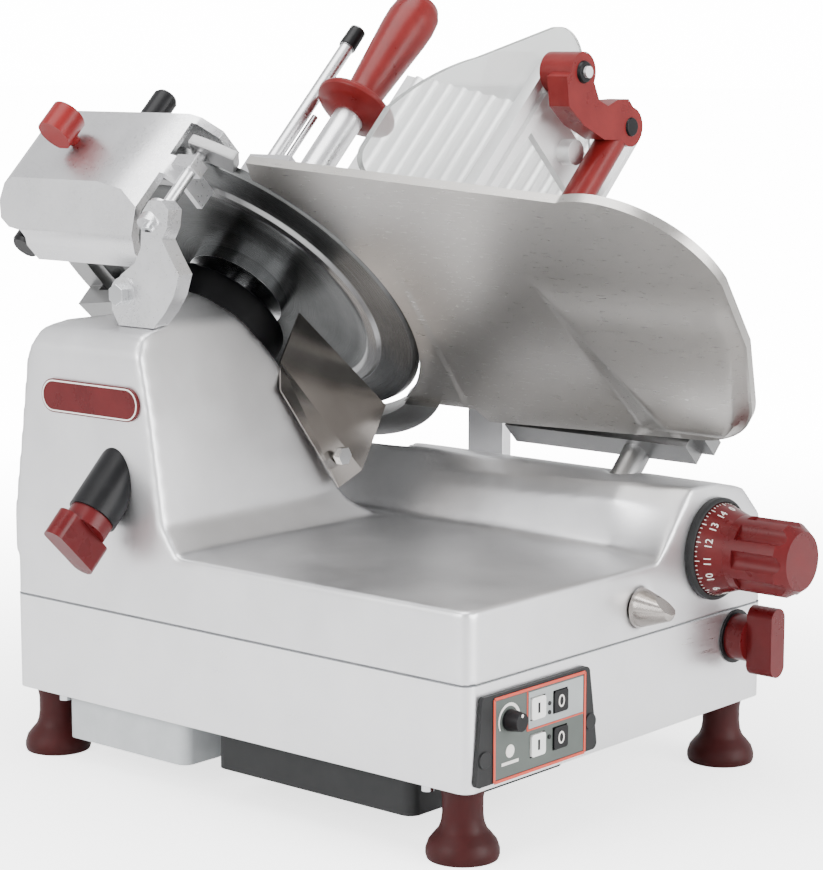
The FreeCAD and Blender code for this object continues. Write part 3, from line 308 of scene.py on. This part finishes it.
PAINT = plastic("motor_paint", (0.03, 0.04, 0.05), (0.05, 0.06, 0.07), (0.35, 0.5), grain=500, grit=0.2)
BOARD = plastic("board_green", (0.01, 0.06, 0.025), (0.02, 0.09, 0.04), (0.3, 0.5))
STONE = plastic("abrasive_stone", (0.16, 0.08, 0.05), (0.26, 0.15, 0.10), (0.85, 0.95), grain=1500,
                grit=0.8)
FIELD = plastic("panel_field", (0.075, 0.088, 0.080), (0.092, 0.105, 0.096), (0.4, 0.5), shine=0.3)
FIELD_LIGHT = plastic("panel_light_field", (0.28, 0.30, 0.30), (0.32, 0.34, 0.34), (0.4, 0.5))
LINE_RED = plastic("panel_red_line", (0.50, 0.045, 0.020), (0.56, 0.060, 0.028), (0.4, 0.5))
PALE = plastic("pale_mark", (0.70, 0.68, 0.64), (0.80, 0.78, 0.74), (0.4, 0.5))
CLEAR = clear_plastic()

NODE_LOOKS = {
    "base_pan": BRUSHED, "bottom_plate": BRUSHED, "rubber_feet": RUBBER, "base_fasteners": BRIGHT,
    "left_undercover": LIGHT_GREY, "front_undercover": CHARCOAL, "drive_motor": PAINT,
    "motor_pulley": BRIGHT, "drive_belt": BELT, "blade_shaft": BRIGHT, "blade_pulley": CAST,
    "blade_bearings": BRIGHT, "blade": BLADE_STEEL, "blade_screws": BRIGHT, "blade_guard": GUARD,
    "guard_nose": GUARD, "sharpener_bracket": SATIN, "bracket_bolt": BRIGHT, "sharpener_housing": SATIN,
    "grinding_stone": STONE, "honing_stone": STONE, "sharpening_button": RED, "honing_button": BLACK,
    "sharpener_lock_knob": BLACK, "slice_deflector": FOLDED_REFLECTION_STEEL, "deflector_nut": BRIGHT,
    "gauge_plate": GAUGE, "gauge_carrier": GUARD, "thickness_cam": BRIGHT, "dial_ring": CHARCOAL,
    "dial_scale": MAROON, "dial_knob": MAROON, "badge_plate": MAROON, "release_boss": BLACK,
    "release_knob": MAROON, "front_knob": MAROON, "lock_button": FOLDED_REFLECTION_STEEL, "panel_bezel": CHARCOAL,
    "blade_start_button": WHITE, "blade_stop_button": BLACK, "carriage_start_button": WHITE,
    "carriage_stop_button": BLACK, "speed_knob": BLACK, "control_board": BOARD, "carriage_rod": BRIGHT,
    "carriage_trolley": CAST, "carriage_arm": CAST, "product_table": TABLE, "hand_shield": CLEAR,
    "shield_rail": TABLE, "carriage_lever": HANDLE, "guide_bar": SATIN, "pusher_tube": SATIN,
    "pusher_handle": HANDLE, "pusher_plate": SATIN, "carriage_motor": PAINT, "belt_pulley": BRIGHT,
    "idler_pulley": BRIGHT, "carriage_belt": BELT,
}
EDGE_ROUNDING = {"blade": 0.0, "hand_shield": 0.6, "gauge_plate": 0.8, "product_table": 0.8,
                 "sharpener_housing": 2.5, "sharpener_bracket": 2.0, "carriage_lever": 3.0,
                 "blade_guard": 2.0, "guard_nose": 1.5, "gauge_carrier": 1.5, "drive_belt": 0.0,
                 "carriage_belt": 0.0, "slice_deflector": 0.0, "panel_bezel": 0.8, "dial_knob": 1.0,
                 "front_knob": 1.5, "release_knob": 1.5, "sharpening_button": 2.0, "rubber_feet": 0.8,
                 "guide_bar": 1.0, "shield_rail": 0.8, "pusher_tube": 1.0, "left_undercover": 2.0,
                 "front_undercover": 2.0, "base_pan": 0.6, "carriage_arm": 1.5}


def dress(obj, material, rounding):
    """Material, small rounded edges and smooth shading."""
    obj.data.materials.clear()
    obj.data.materials.append(material)
    for face in obj.data.polygons:
        face.use_smooth = True
    weld = obj.modifiers.new("weld", "WELD")
    weld.merge_threshold = 2e-6
    if rounding:
        bevel = obj.modifiers.new("rounding", "BEVEL")
        bevel.width = rounding / 1000
        bevel.segments = 3
        bevel.limit_method = "ANGLE"
        bevel.angle_limit = math.radians(32)
        even = obj.modifiers.new("even", "WEIGHTED_NORMAL")
        even.weight = 100
        even.thresh = 0.01
    else:
        obj.modifiers.new("edges", "EDGE_SPLIT").split_angle = math.radians(35)


for name, material in NODE_LOOKS.items():
    dress(nodes[name], material, EDGE_ROUNDING.get(name, 0.5))
nodes["slice_deflector"].modifiers["edges"].split_angle = math.radians(5)

# ---------------------------------------------------------------- mesh pieces

def piece(name, mesh_builder, material, body, rounding=0.3, smooth=True):
    """A mesh made by mesh_builder(bmesh), riding on a CAD body."""
    mesh = bpy.data.meshes.new(name)
    work = bmesh.new()
    mesh_builder(work)
    bmesh.ops.recalc_face_normals(work, faces=work.faces)
    work.to_mesh(mesh)
    work.free()
    obj = bpy.data.objects.new(name, mesh)
    bpy.context.scene.collection.objects.link(obj)
    mesh.materials.append(material)
    if smooth:
        for face in mesh.polygons:
            face.use_smooth = True
    if rounding:
        bevel = obj.modifiers.new("rounding", "BEVEL")
        bevel.width = rounding / 1000
        bevel.segments = 2
        bevel.limit_method = "ANGLE"
        bevel.angle_limit = math.radians(32)
        bevel.harden_normals = smooth
    else:
        obj.modifiers.new("edges", "EDGE_SPLIT").split_angle = math.radians(30)
    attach(obj, body)
    return obj


def add_prism(work, low, high):
    """Joins two loops of points with the same count into a closed solid."""
    bottom = [work.verts.new(p) for p in low]
    top = [work.verts.new(p) for p in high]
    work.faces.new(bottom[::-1])
    work.faces.new(top)
    count = len(low)
    for i in range(count):
        work.faces.new((bottom[i], bottom[(i + 1) % count], top[(i + 1) % count], top[i]))


def front_slab(name, points, near, far, material, body="base", rounding=0.2):
    """Flat piece on the front face: points are (x, z), between two Y values."""
    def build(work):
        add_prism(work, [M(x, near, z) for x, z in points], [M(x, far, z) for x, z in points])
    return piece(name, build, material, body, rounding)


def disc_points(x, z, radius, count=32):
    return [(x + radius * math.cos(2 * math.pi * i / count), z + radius * math.sin(2 * math.pi * i / count))
            for i in range(count)]


def add_rod(work, start, end, radius, end_radius=None, count=32):
    """Cylinder or cone between two points in the row frame."""
    axis = (end - start).normalized()
    side = axis.orthogonal().normalized()
    other = axis.cross(side)
    end_radius = radius if end_radius is None else end_radius
    ring = [side * math.cos(2 * math.pi * i / count) + other * math.sin(2 * math.pi * i / count)
            for i in range(count)]
    add_prism(work, [start + p * radius / 1000 for p in ring], [end + p * end_radius / 1000 for p in ring])


def rod(name, start, end, radius, material, body, end_radius=None, rounding=0.3):
    return piece(name, lambda work: add_rod(work, start, end, radius, end_radius), material, body, rounding)


def strip(points, width):
    """Closed outline of a band of the given width along an open line of (x, z) points."""
    left, right = [], []
    for i, (x, z) in enumerate(points):
        before = points[max(i - 1, 0)]
        after = points[min(i + 1, len(points) - 1)]
        run = Vector((after[0] - before[0], after[1] - before[1])).normalized()
        left.append((x - run.y * width / 2, z + run.x * width / 2))
        right.append((x + run.y * width / 2, z - run.x * width / 2))
    return left + right[::-1]


# ---------------------------------------------------------------- upper casting

# Size of the black painted shade on the casting round the blade hub
HUB_SHADE_RADIUS = 66
HUB_SHADE_DEPTH = 75


def make_casting():
    """The casting's skin: the CAD shape with the soft, flowing transitions of a sand casting, with black
    painted shade round the blade hub.
    """
    source = nodes["upper_casting"]
    obj = bpy.data.objects.new("casting_skin", source.data.copy())
    bpy.context.scene.collection.objects.link(obj)
    remesh = obj.modifiers.new("voxels", "REMESH")
    remesh.mode = "VOXEL"
    remesh.voxel_size = 0.003
    depsgraph = bpy.context.evaluated_depsgraph_get()
    obj.data = bpy.data.meshes.new_from_object(obj.evaluated_get(depsgraph))
    obj.modifiers.clear()
    free = obj.vertex_groups.new(name="free")
    seam = M(0, 0, 86).z
    free.add([v.index for v in obj.data.vertices if v.co.z > seam], 1.0, "REPLACE")
    smooth = obj.modifiers.new("flow", "SMOOTH")
    smooth.factor = 0.5
    smooth.iterations = 12
    smooth.vertex_group = "free"
    obj.data.materials.clear()
    obj.data.materials.append(CAST)
    # Black plastic on the faces round the blade hub is painted shade in the gap behind the blade.
    obj.data.materials.append(BLACK)
    hub = T(*BLADE)
    for face in obj.data.polygons:
        face.use_smooth = True
        offset = face.center - hub
        out = offset.dot(OUT)
        if out > -HUB_SHADE_DEPTH / 1000 and (offset - OUT * out).length < HUB_SHADE_RADIUS / 1000:
            face.material_index = 1
    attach(obj, "base")
    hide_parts("upper_casting")


make_casting()

# ---------------------------------------------------------------- gauge plate's folded back

def arc_through(start, middle, end, steps=12):
    """Points on the circle through three (along, up) points, from start to end."""
    (ax, ay), (bx, by), (cx, cy) = start, middle, end
    d = 2 * (ax * (by - cy) + bx * (cy - ay) + cx * (ay - by))
    x = ((ax**2 + ay**2) * (by - cy) + (bx**2 + by**2) * (cy - ay) + (cx**2 + cy**2) * (ay - by)) / d
    y = ((ax**2 + ay**2) * (cx - bx) + (bx**2 + by**2) * (ax - cx) + (cx**2 + cy**2) * (bx - ax)) / d
    first, last = math.atan2(ay - y, ax - x), math.atan2(cy - y, cx - x)
    sweep = (last - first + math.pi) % (2 * math.pi) - math.pi
    radius = math.hypot(ax - x, ay - y)
    angles = [first + sweep * i / steps for i in range(steps + 1)]
    return [(x + radius * math.cos(angle), y + radius * math.sin(angle)) for angle in angles]


def smoothstep(value, start, end):
    share = min(max((value - start) / (end - start), 0.0), 1.0)
    return share * share * (3 - 2 * share)


def make_gauge_back():
    """Thin relief on the gauge plate's back: the outer half folds away in a fan from the upper edge."""
    near_edge = (arc_through((10, 223), (-72, 202), (-100, 140)) + [(-89, 68)]
                 + arc_through((-60, -8), (-35, -43), (16, -62)))
    along_blade, up_blade, out = BLADE

    def near_side(up):
        for (y1, w1), (y2, w2) in zip(near_edge, near_edge[1:]):
            if w2 <= up <= w1:
                return y1 + (y2 - y1) * (w1 - up) / max(w1 - w2, 1e-6)
        return near_edge[0][0]

    def height(along, up, edge):
        below = max(FOLD_ROOT[1] - up, 0.0)
        beside = along - FOLD_ROOT[0]
        angle = math.degrees(math.atan2(beside, below)) if below else 0.0
        fan = smoothstep(-angle, FAN_START, FAN_END)
        side = beside - RECESS_REACH - RECESS_SLOPE * below
        recess = smoothstep(side, -5.0, 5.0) * smoothstep(below, 0.0, 50.0) * RECESS_DEPTH
        fold = fan * smoothstep(below, 0.0, 60.0) * below * FOLD_SLOPE
        return (fold + recess) * FOLD_SHARE * smoothstep(edge, 0.0, 12.0) + 0.06

    rows, columns = 56, 72
    low, high = -56.0, 214.0
    blade_gap = 178.5
    inset = 2.5

    def build(work):
        top, bottom = [], []
        for i in range(rows + 1):
            up = low + (high - low) * i / rows
            start = near_side(up) + inset
            end = along_blade - math.sqrt(blade_gap**2 - (up - up_blade)**2) - inset
            for j in range(columns + 1):
                along = start + (end - start) * j / columns
                edge = min(along - start, end - along, up - low, high - up)
                top.append(work.verts.new(T(along, up, out - height(along, up, edge))))
                bottom.append(work.verts.new(T(along, up, out + 0.6)))
        width = columns + 1
        for i in range(rows):
            for j in range(columns):
                a = i * width + j
                b = a + 1
                c = b + width
                d = a + width
                work.faces.new((top[a], top[d], top[c], top[b]))
                work.faces.new((bottom[a], bottom[b], bottom[c], bottom[d]))
        rim = (list(range(columns)) + [i * width + columns for i in range(rows)]
               + [rows * width + j for j in range(columns, 0, -1)]
               + [i * width for i in range(rows, 0, -1)])
        for k, a in enumerate(rim):
            b = rim[(k + 1) % len(rim)]
            work.faces.new((top[a], top[b], bottom[b], bottom[a]))
    piece("gauge_back_relief", build, GAUGE, "gauge", 0)


make_gauge_back()

# ---------------------------------------------------------------- control panel

KEY_COLUMNS = (68, 86, 95.5, 113.5)
KEY_ROWS = (15, 33, 43.5, 61.5)


def windowed_slab(name, low, high, near, far, material):
    """Flat slab from (x, z) low to high, with an opening round each key."""
    columns = [low[0]] + [x for x in KEY_COLUMNS if low[0] < x < high[0]] + [high[0]]
    rows = [low[1]] + [z for z in KEY_ROWS if low[1] < z < high[1]] + [high[1]]

    def build(work):
        for x1, x2 in zip(columns, columns[1:]):
            for z1, z2 in zip(rows, rows[1:]):
                if x1 in KEY_COLUMNS[::2] and z1 in KEY_ROWS[::2]:
                    continue
                corners = ((x1, z1), (x2, z1), (x2, z2), (x1, z2))
                add_prism(work, [M(x, near, z) for x, z in corners], [M(x, far, z) for x, z in corners])
    piece(name, build, material, "base", 0)


def make_panel_print():
    """Printed front of the control panel: fields, border lines, lamps and generic symbols."""
    windowed_slab("panel_field_print", (27, 7), (134, 67), -4.0, -4.5, FIELD)
    windowed_slab("panel_light_print", (66, 38), (133, 66), -4.4, -4.8, FIELD_LIGHT)
    lines = {
        "frame": [(25.5, 5.5), (135.5, 5.5), (135.5, 68.5), (25.5, 68.5), (25.5, 5.5)],
        "middle": [(64, 37), (134, 37)], "upright": [(64.5, 37), (64.5, 67)],
    }
    for name, points in lines.items():
        for i in range(len(points) - 1):
            start, end = points[i], points[i + 1]
            front_slab(f"panel_line_{name}_{i}", strip([start, end], 2.4 if name == "frame" else 1.2),
                       -4.3, -5.0, LINE_RED)
    for i, (x, z) in enumerate(((91, 53), (91, 46), (91, 27))):
        front_slab(f"panel_lamp_{i + 1}", disc_points(x, z, 1.7, 20), -4.4, -5.6, CHARCOAL)
    wedge = [(13, math.radians(a)) for a in range(-30, 211, 12)]
    wedge += [(12 - 2.6 * i / 20, math.radians(a)) for i, a in enumerate(range(210, -31, -12))]
    front_slab("panel_speed_wedge", [(43 + r * math.cos(a), 50 + r * math.sin(a)) for r, a in wedge],
               -4.4, -4.9, PALE)
    front_slab("speed_dot", disc_points(43, 55, 1.4, 16), -16.8, -17.2, PALE, "speed_dial")
    front_slab("panel_symbol_base", [(34, 16), (54, 16), (54, 18.5), (34, 18.5)], -4.4, -4.9, PALE)
    front_slab("panel_symbol_disc", disc_points(44, 26, 5, 24), -4.4, -4.9, PALE)
    for i, (x, z) in enumerate(((14.5, 25), (143, 28))):
        front_slab(f"panel_screw_cover_{i + 1}", disc_points(x, z, 6.5), -3.8, -5.4, CHARCOAL, rounding=0.4)
    for i, (x, z, body) in enumerate(((77, 52.5, "blade_start_key"), (77, 24, "carriage_start_key"))):
        bar = [(x - 1.2, z - 4), (x + 1.2, z - 4), (x + 1.2, z + 4), (x - 1.2, z + 4)]
        front_slab(f"start_mark_{i + 1}", bar, -5.9, -6.3, BLACK, body)
    for i, (x, z, body) in enumerate(((104.5, 52.5, "blade_stop_key"), (104.5, 24, "carriage_stop_key"))):
        turns = [math.radians(a) for a in range(0, 361, 15)]
        loop = [(x + 3 * math.cos(a), z + 4.2 * math.sin(a)) for a in turns]
        front_slab(f"stop_mark_{i + 1}", strip(loop, 1.3), -5.9, -6.3, PALE, body, rounding=0)


make_panel_print()

# ---------------------------------------------------------------- dial print

def cone_point(angle, reach, lift=0.0):
    """Point on the dial's cone: angle from the top, clockwise, and reach in front of the face."""
    radius = 38 - 7.5 * (reach - 6) / 22 + lift
    return M(315 + radius * math.sin(angle), -reach, 137 + radius * math.cos(angle))


def make_dial_print():
    def ticks(work):
        for i in range(60):
            angle = math.radians(6 * i)
            long = 10.5 if i % 4 == 0 else 8.5
            half = math.radians(0.5)
            corners = ((-half, 7), (half, 7), (half, long), (-half, long))
            add_prism(work, [cone_point(angle + a, r, -0.3) for a, r in corners],
                      [cone_point(angle + a, r, 0.25) for a, r in corners])
    piece("dial_ticks", ticks, PALE, "dial", 0, smooth=False)
    for i in range(15):
        angle = math.radians(24 * i)
        text = bpy.data.curves.new(f"dial_number_{i}", "FONT")
        text.body = str(i)
        text.size = 0.0085
        text.align_x = "CENTER"
        text.align_y = "CENTER"
        text.extrude = 0.0002
        obj = bpy.data.objects.new(f"dial_number_{i}", text)
        bpy.context.scene.collection.objects.link(obj)
        obj.data.materials.append(PALE)
        spot = cone_point(angle, 17, 0.1)
        across = (cone_point(angle + 0.01, 17) - cone_point(angle - 0.01, 17)).normalized()
        upward = (cone_point(angle, 8) - cone_point(angle, 25)).normalized()
        facing = across.cross(upward)
        turn = Matrix((across, upward, facing)).transposed()
        obj.matrix_world = Matrix.Translation(spot) @ turn.to_4x4()
        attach(obj, "dial")


make_dial_print()

# ---------------------------------------------------------------- small fittings

def make_fittings():
    rod("lever_cap", T(155.5, 128, 607), T(152, 128, 607), 10, BLACK, "lever", 8.5, rounding=0.8)
    rod("lever_knee_cap", T(155.5, 46, 622), T(153, 46, 622), 8.5, BLACK, "lever", 7.5, rounding=0.6)
    rod("guide_tube_cap", T(425, 141, 621.6), T(425, 141, 645), 8.2, BLACK, "carriage", 7.6, rounding=2.0)
    rod("front_knob_gasket", M(348, 0.2, 58), M(348, -1.8, 58), 22.5, BLACK, "base", rounding=0.6)
    rod("release_collar", T(374, 134, 102.5), T(374, 134, 100.4), 20, BLACK, "release", rounding=0.4)
    rod("tube_collar", T(380, 131, 404), T(380, 131, 416), 18, BRIGHT, "pusher", rounding=0.8)
    rod("hinge_screw", T(352, 262, 300), T(352, 262, 294), 7, BRIGHT, "base", 6.6, rounding=0.6)
    rod("hinge_screw_socket", T(352, 262, 294.2), T(352, 262, 293.8), 3.4, BLACK, "base", rounding=0)
    for i, (up, out) in enumerate(((124, 430), (124, 520), (124, 590))):
        rod(f"rail_screw_{i + 1}", T(206.5, up, out), T(209.5, up, out), 5, BRIGHT, "carriage", 4.2)


make_fittings()


def rounded_loop(low_x, low_y, high_x, high_y, radius, steps=6):
    corners = ((high_x - radius, low_y + radius, -90), (high_x - radius, high_y - radius, 0),
               (low_x + radius, high_y - radius, 90), (low_x + radius, low_y + radius, 180))
    return [(x + radius * math.cos(math.radians(start + 90 * i / steps)),
             y + radius * math.sin(math.radians(start + 90 * i / steps)))
            for x, y, start in corners for i in range(steps + 1)]


def band(name, rings_of_points, material):
    """Closed band through four loops of points with the same count."""
    def build(work):
        rings = [[work.verts.new(point) for point in loop] for loop in rings_of_points]
        count = len(rings[0])
        for k in range(4):
            for i in range(count):
                work.faces.new((rings[k][i], rings[k][(i + 1) % count],
                                rings[(k + 1) % 4][(i + 1) % count], rings[(k + 1) % 4][i]))
    piece(name, build, material, "base", 0)


def make_seam():
    """Grey band that paints the thin shadow line at the step between the casting and the sheet-metal pan.
    """
    outer = rounded_loop(-0.25, -0.25, 390.25, 500.25, 10.2)
    inner = rounded_loop(1.5, 1.5, 388.5, 498.5, 8.5)
    low, high = 80.7, 81.5
    loops = ((low, outer), (high, outer), (high, inner), (low, inner))
    # The grey colour of this band is painted shadow.
    band("base_seam_shadow", [[M(x, y, z) for x, y in loop] for z, loop in loops], GREY)


make_seam()


def make_badge_rim():
    """Pale raised border round the blank badge."""
    outer, inner = [], []
    for side, (y, z) in enumerate(((443, 256), (355, 256))):
        for i in range(13):
            angle = math.radians(-90 + 15 * i + 180 * side)
            for ring, radius in ((outer, 13), (inner, 11.8)):
                ring.append((y + radius * math.cos(angle), z + radius * math.sin(angle)))
    low, high = -2.4, -2.9
    loops = ((low, outer), (high, outer), (high, inner), (low, inner))
    band("badge_border", [[M(x, y, z) for y, z in loop] for x, loop in loops], PALE)


make_badge_rim()

# ---------------------------------------------------------------- floor, light and camera

def make_stage():
    bpy.ops.mesh.primitive_plane_add(size=60)
    floor = bpy.context.object
    floor.name = "floor"
    material, tree, shader = new_material("floor")
    speckle = noise(tree, texture_space(tree), 30, 5)
    colour = mixed(tree, speckle, (0.88, 0.88, 0.88), (0.91, 0.91, 0.91))
    tree.links.new(colour, shader.inputs["Base Color"])
    shader.inputs["Roughness"].default_value = 0.7
    shader.inputs["Specular IOR Level"].default_value = 0.2
    away = node(tree, "ShaderNodeVectorMath", operation="LENGTH")
    tree.links.new(texture_space(tree), away.inputs[0])
    glow = step_between(tree, away.outputs["Value"], 0.15, 2.0, 2.2, 14.0)
    seen = node(tree, "ShaderNodeLightPath")
    shader.inputs["Emission Color"].default_value = (1.0, 1.0, 1.0, 1)
    tree.links.new(arithmetic(tree, "MULTIPLY", glow, seen.outputs["Is Camera Ray"]),
                   shader.inputs["Emission Strength"])
    floor.data.materials.append(material)

    world = bpy.data.worlds.new("studio")
    bpy.context.scene.world = world
    world.use_nodes = True
    tree = world.node_tree
    background = tree.nodes["Background"]
    source = node(tree, "ShaderNodeTexCoord")
    parts = node(tree, "ShaderNodeSeparateXYZ")
    ramp = node(tree, "ShaderNodeValToRGB")
    ramp.color_ramp.elements[0].position = 0.0
    ramp.color_ramp.elements[0].color = (1.0, 1.0, 1.0, 1)
    ramp.color_ramp.elements[1].position = 0.75
    ramp.color_ramp.elements[1].color = (0.62, 0.62, 0.63, 1)
    tree.links.new(source.outputs["Generated"], parts.inputs["Vector"])
    tree.links.new(parts.outputs["Z"], ramp.inputs["Fac"])
    tree.links.new(ramp.outputs["Color"], background.inputs["Color"])
    seen = node(tree, "ShaderNodeLightPath")
    strength = arithmetic(tree, "MULTIPLY_ADD", seen.outputs["Is Camera Ray"], 14.0)
    strength.node.inputs[2].default_value = 1.65
    tree.links.new(strength, background.inputs["Strength"])

    def area(name, spot, target, size, power):
        light = bpy.data.lights.new(name, "AREA")
        light.energy = power
        light.shape = "RECTANGLE"
        light.size = size
        light.size_y = size
        obj = bpy.data.objects.new(name, light)
        bpy.context.scene.collection.objects.link(obj)
        obj.location = spot
        obj.rotation_euler = (Vector(target) - Vector(spot)).to_track_quat("-Z", "Y").to_euler()

    area("overhead", (-0.3, 0.1, 2.6), (0, 0, 0.2), 1.8, 60)
    area("left_window", (-2.4, 0.4, 1.3), (0, 0, 0.25), 1.4, 50)
    area("front_fill", (0.4, -2.6, 0.9), (0, 0, 0.1), 1.8, 75)


def make_camera():
    camera = bpy.data.cameras.new("camera")
    camera.lens = 103.8
    camera.sensor_width = 36
    obj = bpy.data.objects.new("camera", camera)
    bpy.context.scene.collection.objects.link(obj)
    obj.location = M(-1364.1, -1123.5, 539.7)
    obj.rotation_euler = Euler((math.radians(90 - 8.773), 0, math.radians(-49.208)))
    bpy.context.scene.camera = obj


make_stage()
make_camera()
